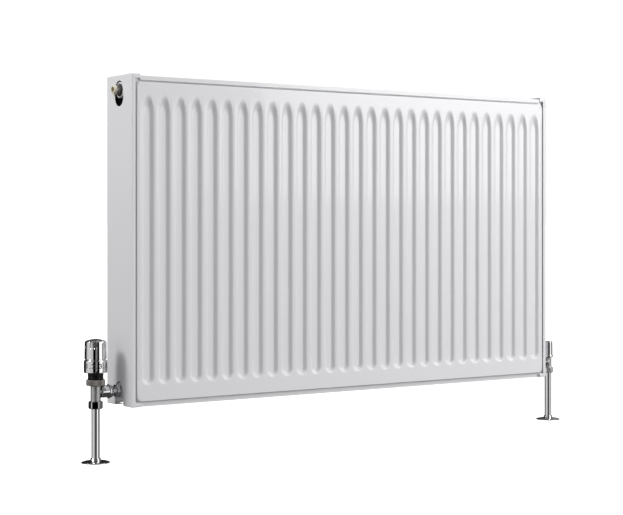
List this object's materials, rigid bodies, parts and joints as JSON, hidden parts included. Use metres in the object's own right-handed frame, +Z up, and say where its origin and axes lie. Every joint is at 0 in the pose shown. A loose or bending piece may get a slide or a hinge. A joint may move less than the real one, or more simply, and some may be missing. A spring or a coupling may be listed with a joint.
{
  "type": "panel radiator with valves",
  "caption": "White pressed steel double panel radiator with convector fins, slotted top, side covers, chrome thermostatic and lockshield valves, pipes and wall brackets.",
  "frame": {"origin": "on the wall plane at floor level, half way along the radiator", "axes": "+X along the radiator to the right as seen from the room, +Y into the wall so the front faces -Y, +Z up"},
  "size_m": [1.15, 0.13, 0.7],
  "materials": {
    "white_enamel": "gloss white stove enamel",
    "galvanised_steel": "zinc plated, satin",
    "polished_chrome": "polished chrome plate",
    "satin_nickel": "satin nickel plate",
    "brass": "machined",
    "stainless_steel": "bright",
    "black_plastic": "satin",
    "ivory_plastic": "satin",
    "black_rubber": "matt"
  },
  "bodies": {
    "radiator": {"blanking_plug": "satin_nickel", "blanking_plug_seal": "black_rubber", "bracket_insert_lower_left": "ivory_plastic", "bracket_insert_lower_right": "ivory_plastic", "bracket_insert_upper_left": "ivory_plastic", "bracket_insert_upper_right": "ivory_plastic", "front_convector": "white_enamel", "rear_convector": "white_enamel", "front_panel_inner_sheet": "white_enamel", "front_panel_outer_sheet": "white_enamel", "rear_panel_inner_sheet": "white_enamel", "rear_panel_outer_sheet": "white_enamel", "hanging_lug_lower_left": "white_enamel", "hanging_lug_lower_right": "white_enamel", "hanging_lug_upper_left": "white_enamel", "hanging_lug_upper_right": "white_enamel", "left_floor_plate": "polished_chrome", "right_floor_plate": "polished_chrome", "left_pipe": "polished_chrome", "right_pipe": "polished_chrome", "lockshield_body": "polished_chrome", "lockshield_compression_nut": "polished_chrome", "lockshield_gland_nut": "brass", "lockshield_olive": "brass", "lockshield_tail": "polished_chrome", "lockshield_union_nut": "polished_chrome", "tee_bottom_left": "white_enamel", "tee_bottom_right": "white_enamel", "tee_top_left": "white_enamel", "tee_top_right": "white_enamel", "trv_body": "polished_chrome", "trv_collar_nut": "satin_nickel", "trv_compression_nut": "polished_chrome", "trv_head_base": "black_plastic", "trv_insert": "brass", "trv_olive": "brass", "trv_tail": "polished_chrome", "trv_union_nut": "polished_chrome", "vent_plug": "satin_nickel", "vent_plug_seal": "black_rubber", "wall_bracket_left": "galvanised_steel", "wall_bracket_right": "galvanised_steel"},
    "trv_head": {"trv_head_knob": "polished_chrome"},
    "trv_pin": {"trv_pin": "stainless_steel", "trv_disc": "black_rubber", "trv_sensor": "brass", "trv_spring": "stainless_steel"},
    "ls_cap": {"lockshield_cap": "polished_chrome"},
    "ls_spindle": {"lockshield_spindle": "brass"},
    "ls_disc": {"lockshield_disc": "black_rubber"},
    "vent_nozzle": {"vent_nozzle": "ivory_plastic"},
    "bleed_screw": {"vent_bleed_screw": "brass"},
    "left_cover": {"side_cover_left": "white_enamel"},
    "right_cover": {"side_cover_right": "white_enamel"},
    "grille": {"top_grille": "white_enamel", "grille_clip_left": "stainless_steel", "grille_clip_right": "stainless_steel"}
  },
  "joints": [
    {"name": "trv_head_turn", "type": "hinge", "parent": "radiator", "child": "trv_head", "pos_m": [-0.547, -0.081, 0.19], "axis": [0, 0, 1], "range_deg": [-140, 140]},
    {"name": "trv_pin_slide", "type": "slide", "parent": "radiator", "child": "trv_pin", "axis": [0, 0, 1], "range_m": [-0.0009, 0.0009], "deforming": ["trv_spring"]},
    {"name": "lockshield_cap_pull", "type": "slide", "parent": "radiator", "child": "ls_cap", "axis": [0, 0, 1], "range_m": [0, 0.03]},
    {"name": "lockshield_spindle_turn", "type": "hinge", "parent": "radiator", "child": "ls_spindle", "pos_m": [0.551, -0.081, 0.14], "axis": [0, 0, 1], "range_deg": [-540, 900]},
    {"name": "lockshield_disc_slide", "type": "slide", "parent": "radiator", "child": "ls_disc", "axis": [0, 0, 1], "range_m": [-0.00077, 0.00127]},
    {"name": "vent_nozzle_turn", "type": "hinge", "parent": "radiator", "child": "vent_nozzle", "pos_m": [-0.512, -0.081, 0.673], "axis": [1, 0, 0], "continuous": true},
    {"name": "bleed_screw_turn", "type": "hinge", "parent": "radiator", "child": "bleed_screw", "pos_m": [-0.512, -0.081, 0.673], "axis": [-1, 0, 0], "range_deg": [0, 540]},
    {"name": "side_cover_left_pull", "type": "slide", "parent": "radiator", "child": "left_cover", "axis": [-1, 0, 0], "range_m": [0, 0.02]},
    {"name": "side_cover_right_pull", "type": "slide", "parent": "radiator", "child": "right_cover", "axis": [1, 0, 0], "range_m": [0, 0.02]},
    {"name": "grille_lift", "type": "slide", "parent": "radiator", "child": "grille", "axis": [0, 0, 1], "range_m": [0, 0.03]}
  ],
  "couplings": [
    {"joint": "trv_pin_slide", "follows": "trv_head_turn", "m_per_rad": 0.00035},
    {"joint": "lockshield_disc_slide", "follows": "lockshield_spindle_turn", "m_per_rad": 0.00007958}
  ]
}
